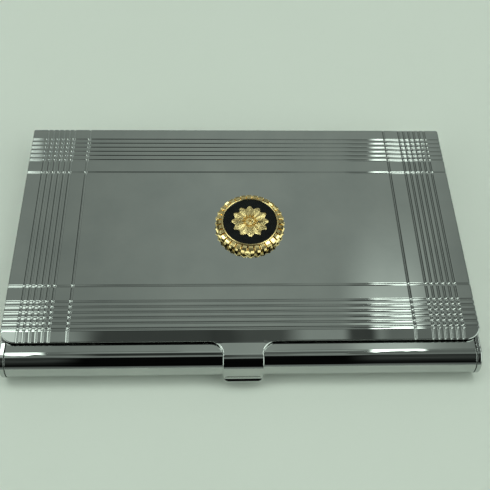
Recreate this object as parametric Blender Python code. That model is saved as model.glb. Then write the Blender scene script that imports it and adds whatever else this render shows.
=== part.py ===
"""Business card case: a chromed sheet-metal case with a hinged lid, a sprung card
leaf inside and a small gilt medallion on the lid.

Frame: +X to the right, +Y to the hinge side, +Z up, the thumb tab at -Y.
The origin is on the underside, in the middle of the case with its lid shut.
"""

import math

import bmesh
import bpy
from mathutils import Matrix, Vector

MM = 0.001

# Driving dimensions, in millimetres.
WIDTH = 94.0              # across the lid and over both end plates
CASE_HEIGHT = 8.2         # resting face to the top of the lid
SHEET = 0.45              # lid and base shell
END_PLATE = 1.0
HINGE_SHEET = 0.4         # both hinge leaves and the card leaf
RUNNING_GAP = 0.1         # between pieces that lie against each other

# Lid, measured along the sheet from its rear edge.
LID_FLAT = 51.3
LID_CREASE_RADIUS = 1.0
LID_SLOPE = 15.0          # degrees that the front lip dips
LID_LIP = 53.73           # rear edge to the front edge of the lip
LID_SLOPE_RUN = 2.27
LID_CORNER_RADIUS = 2.8

# Thumb tab, the lid's sheet carried on over the nose.
TAB_WIDTH = 8.0
TAB_ROOT_RADIUS = 2.5
TAB_CORNER_RADIUS = 1.2
TAB_JOGGLE_RADIUS = 1.5
TAB_SHELF_SLOPE = 1.5
TAB_SHELF_RUN = 2.05
TAB_BEND_RADIUS = 3.2
TAB_DROP = 0.75
TAB_FLARE_RADIUS = 1.6
TAB_FLARE = 45.0
TAB_END_RUN = 0.15

# Base shell.
NOSE_RADIUS = 3.4
NOSE_BEHIND_REAR = 55.2   # rear face to the middle of the nose
LEDGE_RUN = 2.5           # the nose's flat top, back under the lip
REAR_CORNER_RADIUS = 1.2
REAR_WALL_TOP = 4.9

# End plates.
PLATE_PROUD = 0.05
PLATE_EDGE_ROUND = 0.35
PLATE_SHOULDER = 51.0     # rear face to where the top edge steps down
PLATE_STEP_END = 52.5
HINGE_EAR_RADIUS = 1.05

# Hinge.
PIN_RADIUS = 0.6
PIN_INSET = 1.3           # rear face to the pin
PIN_HEIGHT = 6.6
KNUCKLE_RADIUS = 1.06
CURL = 290.0              # degrees that a knuckle wraps round the pin
JOGGLE_RADIUS = 0.5
BASE_LEAF_REACH = 0.8     # pin to the rear face of the base's hinge leaf
BASE_LEAF_BOTTOM = 1.3
BASE_LEAF_TOP = 3.8
BASE_LEAF_LEAN = 4.8
LID_LEAF_LENGTH = 7.7     # in front of the pin
LID_LEAF_CLEAR = 1.1      # pin to the leaf's rear edge between knuckles
LEAF_ENDS = 45.5

# Knuckle places along the pin, from the middle outwards, the same on both sides.
BASE_MIDDLE_KNUCKLE = 5.0
LID_INNER_KNUCKLE = (5.15, 15.0)
CARD_LEAF_KNUCKLE = (15.15, 23.0)
SPRING_SPAN = (23.3, 26.9)
BASE_OUTER_KNUCKLE = (27.2, 34.0)
LID_OUTER_KNUCKLE = (34.15, 45.0)
PIN_HALF_LENGTH = 45.6

# Card leaf.
CARD_LEAF_HALF_WIDTH = 44.5
CARD_LEAF_UNDERSIDE = 0.95
CARD_LEAF_FRONT = 52.0    # rear face to the leaf's front edge
CARD_LEAF_ARM_REACH = 0.3
CARD_LEAF_BEND_RADIUS = 0.9
CARD_LEAF_ARM_LEAN = 4.0
CARD_LEAF_CORNER_RADIUS = 3.0
FINGER_NOTCH_HALF_WIDTH = 9.0
FINGER_NOTCH_DEPTH = 6.0
FINGER_NOTCH_RADIUS = 3.0

# Lifter springs.
WIRE_RADIUS = 0.13
COIL_RADIUS = 0.85
COIL_TURNS = 5
COIL_STEPS = 14           # points in one turn
SPRING_WALL_REACH = 0.64
SPRING_WALL_FOOT = 4.0
SPRING_LEG_HEIGHT = 0.72
SPRING_LEG_INSET = 0.25   # pin to the leg where it turns in under the leaf
SPRING_LEG_LENGTH = 5.0

# Medallion, heights above the lid.
MEDALLION_X = 2.0
MEDALLION_BEHIND_REAR = 27.0
BEZEL_RADIUS = 7.45       # at the girdle, its widest
BEZEL_GIRDLE = 1.1
BEZEL_FOOT_RADIUS = 7.0
BEZEL_BORE = 6.15
BEZEL_LAND = 0.3          # flat top beside the bore
BEZEL_HEIGHT = 1.75
CUP_RADIUS = 6.05
CUP_RIM = 0.34
CUP_HEIGHT = 1.9
ENAMEL_BED = 0.9
ENAMEL_HEIGHT = 1.68
PAD_RADIUS = 6.6
PAD_HEIGHT = 0.22
EMBLEM_RADIUS = 3.6
EMBLEM_PETAL = 0.35
EMBLEM_PETALS = 12
EMBLEM_UNDERSIDE = 1.74
EMBLEM_TOP = 2.08
ROUND_STEPS = 48

ARC_STEP = math.radians(12)

CHROME = ("chrome", (0.72, 0.75, 0.73), 0.08, 1.0)
STEEL = ("spring steel", (0.55, 0.56, 0.56), 0.25, 1.0)
GOLD = ("gilt brass", (0.83, 0.62, 0.25), 0.18, 1.0)
ENAMEL = ("black enamel", (0.012, 0.013, 0.013), 0.06, 0.0)
FOAM = ("adhesive pad", (0.75, 0.75, 0.72), 0.8, 0.0)


class Path:
    """Straight runs and arcs in the YZ plane, with the material on their left."""

    def __init__(self, y, z, heading):
        self.point = Vector((y, z))
        self.heading = math.radians(heading)
        self.length = 0.0
        self.pieces = []

    def add(self, length, curvature):
        self.pieces.append((self.length, self.point.copy(), self.heading, length, curvature))
        self.point, self.heading = self.step(self.point, self.heading, length, curvature)
        self.length += length

    def line(self, length):
        self.add(length, 0.0)

    def arc(self, radius, turn):
        """Turns left for a positive angle in degrees and right for a negative one."""
        self.add(abs(math.radians(turn)) * radius, math.copysign(1.0 / radius, turn))

    @staticmethod
    def step(point, heading, distance, curvature):
        if curvature == 0.0:
            return point + distance * Vector((math.cos(heading), math.sin(heading))), heading
        turned = heading + distance * curvature
        move = Vector((math.sin(turned) - math.sin(heading), math.cos(heading) - math.cos(turned)))
        return point + move / curvature, turned

    def at(self, distance):
        """The point at a distance along the path, and the direction to its left."""
        for start, point, heading, length, curvature in self.pieces:
            if distance <= start + length or start + length >= self.length - 1e-6:
                place, turned = self.step(point, heading, distance - start, curvature)
                return place, Vector((-math.sin(turned), math.cos(turned)))

    def stations(self):
        """The distances at which a flat blank is creased so that it follows the arcs."""
        places = []
        for start, _, _, length, curvature in self.pieces:
            count = max(1, math.ceil(length * abs(curvature) / ARC_STEP))
            places += [start + length * i / count for i in range(1, count + 1)]
        return places[:-1]


def rear(distance):
    """The Y of a place given by its distance in front of the rear face."""
    return REAR_Y - distance


def lid_path(rear_y):
    """The lid's upper face, from its rear edge to the tip of the thumb tab."""
    path = Path(rear_y, CASE_HEIGHT, 180.0)
    path.line(LID_FLAT)
    path.arc(LID_CREASE_RADIUS, LID_SLOPE)
    path.line(LID_SLOPE_RUN)
    path.arc(TAB_JOGGLE_RADIUS, TAB_SHELF_SLOPE - LID_SLOPE)
    path.line(TAB_SHELF_RUN)
    path.arc(TAB_BEND_RADIUS, 90.0 - TAB_SHELF_SLOPE)
    path.line(TAB_DROP)
    path.arc(TAB_FLARE_RADIUS, -TAB_FLARE)
    path.line(TAB_END_RUN)
    return path


REAR_Y = -lid_path(0.0).point.x / 2
PIN_Y = rear(PIN_INSET)
PIN = Vector((0.0, PIN_Y, PIN_HEIGHT))


def rounded(corners):
    """An outline from (x, v, radius) corners, with an arc at each that has a radius."""
    outline = []
    for i, (x, v, radius) in enumerate(corners):
        corner = Vector((x, v))
        if radius == 0.0:
            outline.append(corner)
            continue
        before = (Vector(corners[i - 1][:2]) - corner).normalized()
        after = (Vector(corners[(i + 1) % len(corners)][:2]) - corner).normalized()
        half = before.angle(after) / 2
        centre = corner + (before + after).normalized() * (radius / math.sin(half))
        start = corner + before * (radius / math.tan(half)) - centre
        end = corner + after * (radius / math.tan(half)) - centre
        sweep = math.atan2(start.x * end.y - start.y * end.x, start.dot(end))
        count = max(2, math.ceil(abs(sweep) / ARC_STEP))
        for k in range(count + 1):
            outline.append(centre + Matrix.Rotation(sweep * k / count, 2) @ start)
    return outline


def round_arc(centre, radius, start, end):
    """Points on an arc in the YZ plane, its angles in degrees."""
    count = max(2, math.ceil(math.radians(abs(end - start)) / ARC_STEP))
    points = []
    for k in range(count + 1):
        angle = math.radians(start + (end - start) * k / count)
        points.append(centre + radius * Vector((math.cos(angle), math.sin(angle))))
    return points


def toothed_edge(spans, root, tip):
    """Corners along an edge with a tooth on each span, from the first span to the last."""
    corners = []
    for start, end in spans:
        corners += [(start, root, 0.0), (start, tip, 0.0), (end, tip, 0.0), (end, root, 0.0)]
    return corners


def both_sides(*spans):
    """Spans given on the right, and their mirror images, ordered from left to right."""
    return sorted([(-end, -start) for start, end in spans] + list(spans))


def material(finish):
    name, colour, roughness, metallic = finish
    found = bpy.data.materials.get(name)
    if found:
        return found
    made = bpy.data.materials.new(name)
    made.use_nodes = True
    shader = made.node_tree.nodes["Principled BSDF"]
    shader.inputs["Base Color"].default_value = (*colour, 1.0)
    shader.inputs["Roughness"].default_value = roughness
    shader.inputs["Metallic"].default_value = metallic
    return made


def finish_object(name, bm, finish, parent=None):
    """An object from a mesh in millimetres, with its origin on its parent's axis."""
    bmesh.ops.recalc_face_normals(bm, faces=bm.faces)
    mesh = bpy.data.meshes.new(name)
    bm.to_mesh(mesh)
    bm.free()
    origin = parent.location if parent else Vector()
    mesh.transform(Matrix.Translation(-origin) @ Matrix.Scale(MM, 4))
    mesh.shade_smooth()
    mesh.set_sharp_from_angle(angle=math.radians(30))
    mesh.materials.append(material(finish))
    made = bpy.data.objects.new(name, mesh)
    bpy.context.collection.objects.link(made)
    made.parent = parent
    return made


def bent_sheet(name, outline, path, thickness, finish, parent=None):
    """A flat blank (x across, v along the path) bent to the path, with its thickness."""
    blank = bmesh.new()
    blank.faces.new([blank.verts.new((x, v, 0.0)) for x, v in outline])
    for place in path.stations():
        everything = blank.verts[:] + blank.edges[:] + blank.faces[:]
        bmesh.ops.bisect_plane(blank, geom=everything, plane_co=(0, place, 0), plane_no=(0, 1, 0))
    bm = bmesh.new()
    outer = {}
    inner = {}
    for vert in blank.verts:
        point, left = path.at(vert.co.y)
        inside = point + left * thickness
        outer[vert] = bm.verts.new((vert.co.x, *point))
        inner[vert] = bm.verts.new((vert.co.x, *inside))
    for face in blank.faces:
        bm.faces.new([outer[vert] for vert in face.verts])
        bm.faces.new([inner[vert] for vert in reversed(face.verts)])
    for edge in blank.edges:
        if edge.is_boundary:
            first, second = edge.verts
            bm.faces.new([outer[first], outer[second], inner[second], inner[first]])
    blank.free()
    return finish_object(name, bm, finish, parent)


def turned(name, profile, finish, parent=None):
    """A round piece about the medallion's axis, from (radius, height) points."""
    bm = bmesh.new()
    rings = []
    for radius, height in profile:
        z = CASE_HEIGHT + height
        if radius == 0.0:
            rings.append([bm.verts.new((MEDALLION_X, rear(MEDALLION_BEHIND_REAR), z))])
            continue
        ring = []
        for k in range(ROUND_STEPS):
            angle = math.tau * k / ROUND_STEPS
            x = MEDALLION_X + radius * math.cos(angle)
            y = rear(MEDALLION_BEHIND_REAR) + radius * math.sin(angle)
            ring.append(bm.verts.new((x, y, z)))
        rings.append(ring)
    for first, second in zip(rings, rings[1:] + rings[:1]):
        for k in range(ROUND_STEPS):
            corners = []
            for vert in (first[k % len(first)], first[(k + 1) % len(first)],
                         second[(k + 1) % len(second)], second[k % len(second)]):
                if vert not in corners:
                    corners.append(vert)
            if len(corners) > 2:
                bm.faces.new(corners)
    return finish_object(name, bm, finish, parent)


def prism(bm, outline, direction):
    """A closed solid from a flat outline of 3-D points, carried along a direction."""
    near = [bm.verts.new(point) for point in outline]
    far = [bm.verts.new(Vector(point) + direction) for point in outline]
    caps = [bm.faces.new(near), bm.faces.new(far[::-1])]
    for i, vert in enumerate(near):
        j = (i + 1) % len(near)
        bm.faces.new([near[j], vert, far[i], far[j]])
    return caps


def curl_round_pin(path, reach, lean_height):
    """Leads a rising strip out to the knuckle's circle and wraps it round the pin."""
    drop = PIN_HEIGHT - lean_height
    across = reach + JOGGLE_RADIUS
    slant = math.hypot(across, drop)
    lean = math.atan2(drop, across) - math.acos((KNUCKLE_RADIUS + JOGGLE_RADIUS) / slant)
    path.arc(JOGGLE_RADIUS, -math.degrees(lean))
    to_pin = Vector((PIN_Y, PIN_HEIGHT)) - path.point
    path.line(to_pin.dot(Vector((math.cos(path.heading), math.sin(path.heading)))))
    path.arc(KNUCKLE_RADIUS, CURL)


def make_axis(name):
    """An empty on the hinge pin, which carries the pieces that turn about it."""
    axis = bpy.data.objects.new(name, None)
    axis.location = PIN * MM
    bpy.context.collection.objects.link(axis)
    return axis


def make_base_shell():
    """Ledge, half-round nose, floor and rear wall, bent from one sheet."""
    path = Path(rear(NOSE_BEHIND_REAR - LEDGE_RUN), 2 * NOSE_RADIUS, 180.0)
    path.line(LEDGE_RUN)
    path.arc(NOSE_RADIUS, 180.0)
    path.line(NOSE_BEHIND_REAR - REAR_CORNER_RADIUS)
    path.arc(REAR_CORNER_RADIUS, 90.0)
    path.line(REAR_WALL_TOP - REAR_CORNER_RADIUS)
    half = WIDTH / 2 - END_PLATE - RUNNING_GAP
    outline = rounded([(-half, 0.0, 0.0), (half, 0.0, 0.0),
                       (half, path.length, 0.0), (-half, path.length, 0.0)])
    bent_sheet("base_shell", outline, path, SHEET, CHROME)


def end_plate_outline():
    """The end plate seen from the side: nose, floor, rear wall, hinge ear and top edge."""
    nose = Vector((rear(NOSE_BEHIND_REAR), NOSE_RADIUS + PLATE_PROUD))
    corner = Vector((rear(REAR_CORNER_RADIUS), REAR_CORNER_RADIUS))
    pin = Vector((PIN_Y, PIN_HEIGHT))
    top = PIN_HEIGHT + HINGE_EAR_RADIUS
    outline = round_arc(nose, NOSE_RADIUS + PLATE_PROUD, 90.0, 270.0)
    outline += round_arc(corner, REAR_CORNER_RADIUS, 270.0, 360.0)
    outline.append(Vector((REAR_Y, REAR_WALL_TOP)))
    outline.append(Vector((PIN_Y + HINGE_EAR_RADIUS * math.cos(math.radians(60.0)), REAR_WALL_TOP)))
    outline += round_arc(pin, HINGE_EAR_RADIUS, -60.0, 90.0)
    outline.append(Vector((rear(PLATE_SHOULDER), top)))
    outline.append(Vector((rear(PLATE_STEP_END), nose.y + NOSE_RADIUS + PLATE_PROUD)))
    return outline


def make_end_plate(name, side):
    """A stamped plate that closes one end of the shell, its outer edge rounded."""
    inner_face = side * (WIDTH / 2 - END_PLATE)
    bm = bmesh.new()
    outline = [(inner_face, *point) for point in end_plate_outline()]
    caps = prism(bm, outline, Vector((side * END_PLATE, 0.0, 0.0)))
    bmesh.ops.bevel(bm, geom=caps[1].edges[:], offset=PLATE_EDGE_ROUND, segments=3,
                    profile=0.5, affect="EDGES", clamp_overlap=True)
    finish_object(name, bm, CHROME)


def make_base_hinge_leaf():
    """A strip on the inside of the rear wall, with three knuckles curled round the pin."""
    path = Path(PIN_Y + BASE_LEAF_REACH, BASE_LEAF_BOTTOM, 90.0)
    path.line(BASE_LEAF_LEAN - BASE_LEAF_BOTTOM)
    curl_round_pin(path, BASE_LEAF_REACH, BASE_LEAF_LEAN)
    spans = both_sides(BASE_OUTER_KNUCKLE) + [(-BASE_MIDDLE_KNUCKLE, BASE_MIDDLE_KNUCKLE)]
    root = BASE_LEAF_TOP - BASE_LEAF_BOTTOM
    teeth = toothed_edge(sorted(spans), root, path.length)
    corners = [(LEAF_ENDS, root, 0.0), (LEAF_ENDS, 0.0, 0.0),
               (-LEAF_ENDS, 0.0, 0.0), (-LEAF_ENDS, root, 0.0)]
    bent_sheet("base_hinge_leaf", rounded(corners + teeth), path, HINGE_SHEET, CHROME)


def make_lid_hinge_leaf(parent):
    """A strip under the lid, with four knuckles curled round the pin."""
    start = 90.0 - CURL
    ring = Vector((math.cos(math.radians(start)), math.sin(math.radians(start))))
    path = Path(PIN_Y + KNUCKLE_RADIUS * ring.x, PIN_HEIGHT + KNUCKLE_RADIUS * ring.y, start + 90.0)
    path.arc(KNUCKLE_RADIUS, CURL)
    rolled = path.length
    path.line(LID_LEAF_LENGTH)
    root = rolled + LID_LEAF_CLEAR
    teeth = toothed_edge(both_sides(LID_INNER_KNUCKLE, LID_OUTER_KNUCKLE), root, 0.0)
    corners = [(LEAF_ENDS, root, 0.0), (LEAF_ENDS, path.length, 0.0),
               (-LEAF_ENDS, path.length, 0.0), (-LEAF_ENDS, root, 0.0)]
    bent_sheet("lid_hinge_leaf", rounded(teeth + corners), path, HINGE_SHEET, CHROME, parent)


def make_hinge_pin():
    """The wire that all the knuckles turn on."""
    bm = bmesh.new()
    turn = Matrix.Rotation(math.radians(90), 4, "Y")
    place = Matrix.Translation(PIN) @ turn
    bmesh.ops.create_cone(bm, cap_ends=True, segments=20, radius1=PIN_RADIUS,
                          radius2=PIN_RADIUS, depth=2 * PIN_HALF_LENGTH, matrix=place)
    finish_object("hinge_pin", bm, STEEL)


def make_lid(parent):
    """Cover sheet, front lip and thumb tab in one piece."""
    path = lid_path(REAR_Y)
    half = WIDTH / 2
    tab = TAB_WIDTH / 2
    corners = [(-half, 0.0, 0.0), (half, 0.0, 0.0),
               (half, LID_LIP, LID_CORNER_RADIUS),
               (tab, LID_LIP, TAB_ROOT_RADIUS),
               (tab, path.length, TAB_CORNER_RADIUS),
               (-tab, path.length, TAB_CORNER_RADIUS),
               (-tab, LID_LIP, TAB_ROOT_RADIUS),
               (-half, LID_LIP, LID_CORNER_RADIUS)]
    bent_sheet("lid", rounded(corners), path, SHEET, CHROME, parent)


def make_card_leaf(parent):
    """The plate that lifts the cards, with a finger notch and two arms up to the pin."""
    path = Path(rear(CARD_LEAF_FRONT), CARD_LEAF_UNDERSIDE, 0.0)
    arm_y = PIN_Y + CARD_LEAF_ARM_REACH
    path.line(arm_y - CARD_LEAF_BEND_RADIUS - path.point.x)
    plate_end = path.length
    path.arc(CARD_LEAF_BEND_RADIUS, 90.0)
    path.line(CARD_LEAF_ARM_LEAN - path.point.y)
    curl_round_pin(path, CARD_LEAF_ARM_REACH, CARD_LEAF_ARM_LEAN)
    half = CARD_LEAF_HALF_WIDTH
    notch = FINGER_NOTCH_HALF_WIDTH
    front = [(-half, 0.0, CARD_LEAF_CORNER_RADIUS),
             (-notch, 0.0, FINGER_NOTCH_RADIUS / 2),
             (-notch, FINGER_NOTCH_DEPTH, FINGER_NOTCH_RADIUS),
             (notch, FINGER_NOTCH_DEPTH, FINGER_NOTCH_RADIUS),
             (notch, 0.0, FINGER_NOTCH_RADIUS / 2),
             (half, 0.0, CARD_LEAF_CORNER_RADIUS),
             (half, plate_end, CARD_LEAF_CORNER_RADIUS)]
    arms = toothed_edge(both_sides(CARD_LEAF_KNUCKLE), plate_end, path.length)[::-1]
    corners = front + arms + [(-half, plate_end, CARD_LEAF_CORNER_RADIUS)]
    bent_sheet("card_leaf", rounded(corners), path, HINGE_SHEET, STEEL, parent)


def spring_route(side):
    """The wire's middle line: wall leg, coil round the pin, leg under the card leaf."""
    near = side * (SPRING_SPAN[0] + WIRE_RADIUS)
    far = side * (SPRING_SPAN[1] - WIRE_RADIUS)
    foot = Vector((far, PIN_Y + SPRING_WALL_REACH, SPRING_WALL_FOOT))
    points = [foot]
    turns = COIL_TURNS + 0.5
    count = round(turns * COIL_STEPS)
    for k in range(count + 1):
        angle = math.tau * turns * k / count
        x = far + (near - far) * k / count
        points.append(PIN + Vector((x, COIL_RADIUS * math.cos(angle), COIL_RADIUS * math.sin(angle))))
    bend = Vector((near, PIN_Y - SPRING_LEG_INSET, SPRING_LEG_HEIGHT))
    points.append(bend + Vector((0.0, 0.0, 2 * WIRE_RADIUS)))
    points.append(bend - Vector((0.0, 2 * WIRE_RADIUS, 0.0)))
    points.append(bend - Vector((0.0, SPRING_LEG_LENGTH, 0.0)))
    return points


def make_lifter_spring(name, side, parent):
    """A torsion spring on the pin, between the rear wall and the card leaf."""
    curve = bpy.data.curves.new(name, "CURVE")
    curve.dimensions = "3D"
    curve.bevel_depth = WIRE_RADIUS * MM
    curve.bevel_resolution = 1
    curve.use_fill_caps = True
    points = spring_route(side)
    spline = curve.splines.new("POLY")
    spline.points.add(len(points) - 1)
    for place, point in zip(spline.points, points):
        place.co = (*(point * MM - parent.location), 1.0)
    curve.materials.append(material(STEEL))
    made = bpy.data.objects.new(name, curve)
    bpy.context.collection.objects.link(made)
    made.parent = parent


def make_medallion(parent):
    """Bezel, struck cup, enamel and emblem on an adhesive pad."""
    gap = RUNNING_GAP / 2
    turned("medallion_adhesive", [(0.0, gap), (PAD_RADIUS, gap), (PAD_RADIUS, PAD_HEIGHT),
                                  (0.0, PAD_HEIGHT)], FOAM, parent)
    seat = PAD_HEIGHT + gap
    turned("medallion_bezel", [(BEZEL_BORE, seat), (PAD_RADIUS + gap, seat),
                               (PAD_RADIUS + gap, gap), (BEZEL_FOOT_RADIUS, gap),
                               (BEZEL_RADIUS, BEZEL_GIRDLE),
                               (BEZEL_BORE + BEZEL_LAND, BEZEL_HEIGHT),
                               (BEZEL_BORE, BEZEL_HEIGHT)], GOLD, parent)
    inside = CUP_RADIUS - CUP_RIM
    turned("medallion_cup", [(0.0, seat), (CUP_RADIUS, seat), (CUP_RADIUS, CUP_HEIGHT),
                             (inside, CUP_HEIGHT), (inside, ENAMEL_BED), (0.0, ENAMEL_BED)],
           GOLD, parent)
    fill = inside - gap
    turned("medallion_enamel", [(0.0, ENAMEL_BED + gap), (fill, ENAMEL_BED + gap),
                                (fill, ENAMEL_HEIGHT), (0.0, ENAMEL_HEIGHT)], ENAMEL, parent)
    make_emblem(parent)


def make_emblem(parent):
    """A plain rosette that stands on the enamel."""
    bm = bmesh.new()
    outline = []
    steps = EMBLEM_PETALS * 8
    for k in range(steps):
        angle = math.tau * k / steps
        radius = EMBLEM_RADIUS + EMBLEM_PETAL * math.cos(EMBLEM_PETALS * angle)
        x = MEDALLION_X + radius * math.cos(angle)
        y = rear(MEDALLION_BEHIND_REAR) + radius * math.sin(angle)
        outline.append((x, y, CASE_HEIGHT + EMBLEM_UNDERSIDE))
    prism(bm, outline, Vector((0.0, 0.0, EMBLEM_TOP - EMBLEM_UNDERSIDE)))
    finish_object("medallion_emblem", bm, GOLD, parent)


def main():
    for old in list(bpy.data.objects):
        bpy.data.objects.remove(old)
    lid_axis = make_axis("lid_axis")
    leaf_axis = make_axis("card_leaf_axis")
    make_base_shell()
    make_end_plate("end_plate_left", -1)
    make_end_plate("end_plate_right", 1)
    make_base_hinge_leaf()
    make_hinge_pin()
    make_lid(lid_axis)
    make_lid_hinge_leaf(lid_axis)
    make_medallion(lid_axis)
    make_card_leaf(leaf_axis)
    make_lifter_spring("lifter_spring_left", -1, leaf_axis)
    make_lifter_spring("lifter_spring_right", 1, leaf_axis)


main()
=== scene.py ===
"""The look of a mirror-chromed business card case with a gilt and enamel medallion.

Sizes are in millimetres in the row's own frame until a mesh is made. A sheet piece is a flat
outline (u across, v along) with rounded edges, laid on a bent path or on a plane.
"""

import math

import bpy
import numpy as np
from mathutils import Matrix, Vector
from mathutils.geometry import delaunay_2d_cdt
from mathutils.kdtree import KDTree


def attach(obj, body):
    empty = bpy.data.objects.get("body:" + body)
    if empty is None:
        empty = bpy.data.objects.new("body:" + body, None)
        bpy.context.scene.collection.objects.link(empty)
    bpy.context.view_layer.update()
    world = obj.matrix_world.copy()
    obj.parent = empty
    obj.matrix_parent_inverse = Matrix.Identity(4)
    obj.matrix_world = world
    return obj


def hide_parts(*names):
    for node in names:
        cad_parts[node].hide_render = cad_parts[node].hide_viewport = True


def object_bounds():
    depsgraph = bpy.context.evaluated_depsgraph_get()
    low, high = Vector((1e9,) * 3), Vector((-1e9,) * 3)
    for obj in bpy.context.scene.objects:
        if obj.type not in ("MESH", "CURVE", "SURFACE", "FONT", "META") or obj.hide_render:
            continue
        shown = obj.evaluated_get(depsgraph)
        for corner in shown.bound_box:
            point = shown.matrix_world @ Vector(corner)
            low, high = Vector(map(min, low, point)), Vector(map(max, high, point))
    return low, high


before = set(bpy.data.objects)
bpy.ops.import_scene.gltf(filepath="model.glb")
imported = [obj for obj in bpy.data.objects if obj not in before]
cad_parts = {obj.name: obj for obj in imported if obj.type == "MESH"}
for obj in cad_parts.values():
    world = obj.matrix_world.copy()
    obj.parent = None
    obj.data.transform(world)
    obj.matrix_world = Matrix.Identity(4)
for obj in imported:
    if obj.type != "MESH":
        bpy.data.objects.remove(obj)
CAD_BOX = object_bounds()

MM = 0.001

# The case
WIDTH = 94.0
CASE_HEIGHT = 8.2
SHEET = 0.45
END_PLATE = 1.0
HINGE_SHEET = 0.4
RUNNING_GAP = 0.1
REAR_Y = CAD_BOX[1].y / MM

# Lid: flat, crease, front lip, thumb tab
LID_FLAT = 51.3
LID_CREASE_RADIUS = 1.0
LID_SLOPE = 15.0
LID_LIP = 53.73
LID_SLOPE_RUN = 2.27
LID_CORNER_RADIUS = 2.8
LID_REAR_CORNER = 0.5
LID_EDGE_ROUND = 0.22
LID_EDGE_UNDER = 0.04
LID_MARGIN_LINES = (0.6, 1.6)     # mesh lines beside the rear and side edges
LID_GAP_LINES = (10.4, 11.4)      # and between the sixth and seventh grooves
LID_FIELD_HALF = 33.0             # the plain middle, where the mesh is coarse
LID_FIELD_ROWS = (14.0, 40.0)
LID_SLOPE_START = 52.0
TAB_WIDTH = 8.0
TAB_ROOT_RADIUS = 2.5
TAB_CORNER_RADIUS = 1.2
TAB_JOGGLE_RADIUS = 1.5
TAB_SHELF_SLOPE = 1.5
TAB_SHELF_RUN = 2.05
TAB_BEND_RADIUS = 3.2
TAB_DROP = 1.08
TAB_FLARE_RADIUS = 0.7
TAB_FLARE = 55.0
TAB_END_RUN = 0.44

# Grooves pressed into the lid
GROOVE_PITCH = 1.2
GROOVE_WIDTH = 0.72
SIDE_GROOVE_DEPTH = 0.12
ROW_GROOVE_DEPTH = 0.095
CROSSING_RELIEF = 0.06       # how much less than the sum of both depths at a crossing
GROOVE_UNDER_SHARE = 0.5     # of the depth that shows on the lid's underside
SIDE_GROOVES = [3.35 + GROOVE_PITCH * k for k in range(6)] + [12.9]
REAR_GROOVES = [3.0 + GROOVE_PITCH * k for k in range(6)] + [12.55]
FRONT_GROOVES = [41.43] + [45.0 + GROOVE_PITCH * k for k in range(6)]

# Shell and end plates
NOSE_RADIUS = 3.4
NOSE_FROM_REAR = 55.2
LEDGE_RUN = 2.5
REAR_CORNER_RADIUS = 1.2
REAR_WALL_TOP = 4.9
SHELL_CORNER = 0.2
SHELL_EDGE_ROUND = 0.12
PLATE_PROUD = 0.05
PLATE_EDGE_ROUND = 0.35
PLATE_EDGE_UNDER = 0.05
PLATE_COLUMNS = (54.0, 2.0)  # the first and last mesh columns, in front of the rear face
PLATE_ROWS = [2.0, 4.0, 6.0]
PLATE_SHOULDER = 51.0
PLATE_STEP_END = 52.5
HINGE_EAR_RADIUS = 1.05
HINGE_EAR_ANGLE = 60.0       # below level, where the ear meets its neck
PLATE_OUTER_CORNER = 0.42
PLATE_INNER_CORNER = 0.3

# Hinge and card leaf
PIN_INSET = 1.3
PIN_HEIGHT = 6.6
KNUCKLE_RADIUS = 1.06
CURL = 290.0
JOGGLE_RADIUS = 0.5
BASE_LEAF_REACH = 0.8
BASE_LEAF_BOTTOM = 1.3
BASE_LEAF_TOP = 3.8
BASE_LEAF_LEAN = 4.8
LID_LEAF_LENGTH = 7.7
LID_LEAF_CLEAR = 1.1
LEAF_ENDS = 45.5
BASE_MIDDLE_KNUCKLE = 5.0
LID_INNER_KNUCKLE = (5.15, 15.0)
CARD_LEAF_KNUCKLE = (15.15, 23.0)
BASE_OUTER_KNUCKLE = (27.2, 34.0)
LID_OUTER_KNUCKLE = (34.15, 45.0)
CARD_LEAF_HALF_WIDTH = 44.5
CARD_LEAF_UNDERSIDE = 0.95
CARD_LEAF_FRONT = 52.0
CARD_LEAF_ARM_REACH = 0.3
CARD_LEAF_BEND_RADIUS = 0.9
CARD_LEAF_ARM_LEAN = 4.0
CARD_LEAF_CORNER_RADIUS = 3.0
FINGER_NOTCH_HALF_WIDTH = 9.0
FINGER_NOTCH_DEPTH = 6.0
FINGER_NOTCH_RADIUS = 3.0
LEAF_EDGE_ROUND = 0.1
TOOTH_CORNER = 0.16
BASE_LEAF_CORNER = 0.3
LID_LEAF_CORNER = 0.4
KNUCKLE_MARGIN = 0.4         # from a knuckle's ends to its first and last mesh column
KNUCKLE_LINE_GAP = 0.3

# Medallion, heights above the lid
MEDALLION_X = 2.0
MEDALLION_FROM_REAR = 27.0
CUP_RADIUS = 6.05
CUP_RIM = 0.34
CUP_HEIGHT = 1.9
CUP_LIP_POINTS = 9
ENAMEL_BED = 0.9
ENAMEL_HEIGHT = 1.68
ENAMEL_CLEAR = 0.01
ENAMEL_CREEP = 0.03          # how far it climbs the rim
ENAMEL_DISH = 0.02           # how far it sinks in the middle
PAD_HEIGHT = 0.22
EMBLEM_RADIUS = 3.6
EMBLEM_PETAL = 0.35
EMBLEM_PETALS = 12
EMBLEM_UNDERSIDE = 1.74
EMBLEM_TOP = 2.08
EMBLEM_SUNK = 0.07           # how far its edge goes into the enamel
EMBLEM_SKIRT = 0.12
EMBLEM_BOSS = 0.26           # as a share of the radius, as are the beads
BEAD_RING = 0.345
BEAD_HALF_WIDTH = 0.075
EMBLEM_GRAIN = 0.10
EMBLEM_SEED = 7
EMBLEM_STEPS = (320, 44)     # round it, and from the middle to the edge
BEZEL_BLOCKS = 32

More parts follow.
